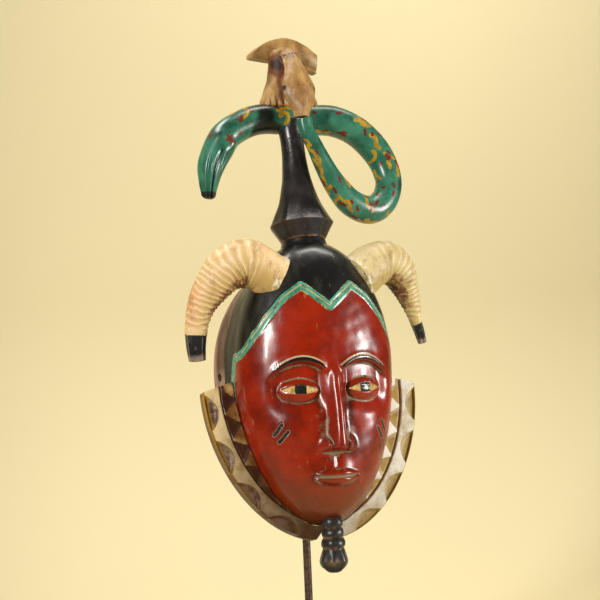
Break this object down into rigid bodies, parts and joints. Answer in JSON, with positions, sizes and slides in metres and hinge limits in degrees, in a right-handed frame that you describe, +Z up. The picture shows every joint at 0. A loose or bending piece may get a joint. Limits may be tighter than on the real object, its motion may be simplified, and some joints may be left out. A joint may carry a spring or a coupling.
{
  "type": "carved wooden crest mask",
  "caption": "Painted wooden face mask with curved horns, snake and bird crest, toothed ruff and ringed beard, resting on an iron rod stand.",
  "frame": {"origin": "on the table under the axis of the stand's rod, at the underside of the base's felt", "axes": "+Z up along the rod, -Y the way the mask faces, +X to the right as seen from in front"},
  "size_m": [0.2617, 0.1582, 0.6645],
  "materials": {
    "stand_wood": "satin black-brown stain",
    "stand_felt": "matte felt",
    "stand_iron": "dark rusted iron, waxed",
    "zinc_steel": "zinc plated",
    "pad_leather": "matte",
    "head_lacquer": "glossy oxide-red lacquer, with black hair and a bare back",
    "ruff_paint": "satin ivory paint with ochre and brown",
    "horn_paint": "satin cream paint with black tips",
    "dowel_wood": "bare",
    "black_lacquer": "glossy black lacquer",
    "snake_paint": "semi-gloss green paint with ochre and dark red spots",
    "bird_wood": "satin pale wood"
  },
  "bodies": {
    "stand": {"base_block": "stand_wood", "base_felt": "stand_felt", "stand_rod": "stand_iron", "rod_flange": "stand_iron", "rod_washer": "zinc_steel", "rod_nut": "zinc_steel", "chin_sleeve": "pad_leather", "rod_tip_pad": "pad_leather"},
    "mask": {"head": "head_lacquer", "ruff_left": "ruff_paint", "ruff_right": "ruff_paint", "ruff_pegs": "dowel_wood", "horn_left": "horn_paint", "horn_right": "horn_paint", "horn_dowels": "dowel_wood", "crest_post": "black_lacquer", "crest_dowel": "dowel_wood", "snake": "snake_paint", "snake_dowel": "dowel_wood", "bird": "bird_wood", "bird_dowels": "dowel_wood", "beard": "black_lacquer", "beard_dowel": "dowel_wood"}
  },
  "joints": [
    {"name": "lift_off", "type": "slide", "parent": "stand", "child": "mask", "axis": [0, 0, 1], "range_m": [0, 0.27]}
  ]
}
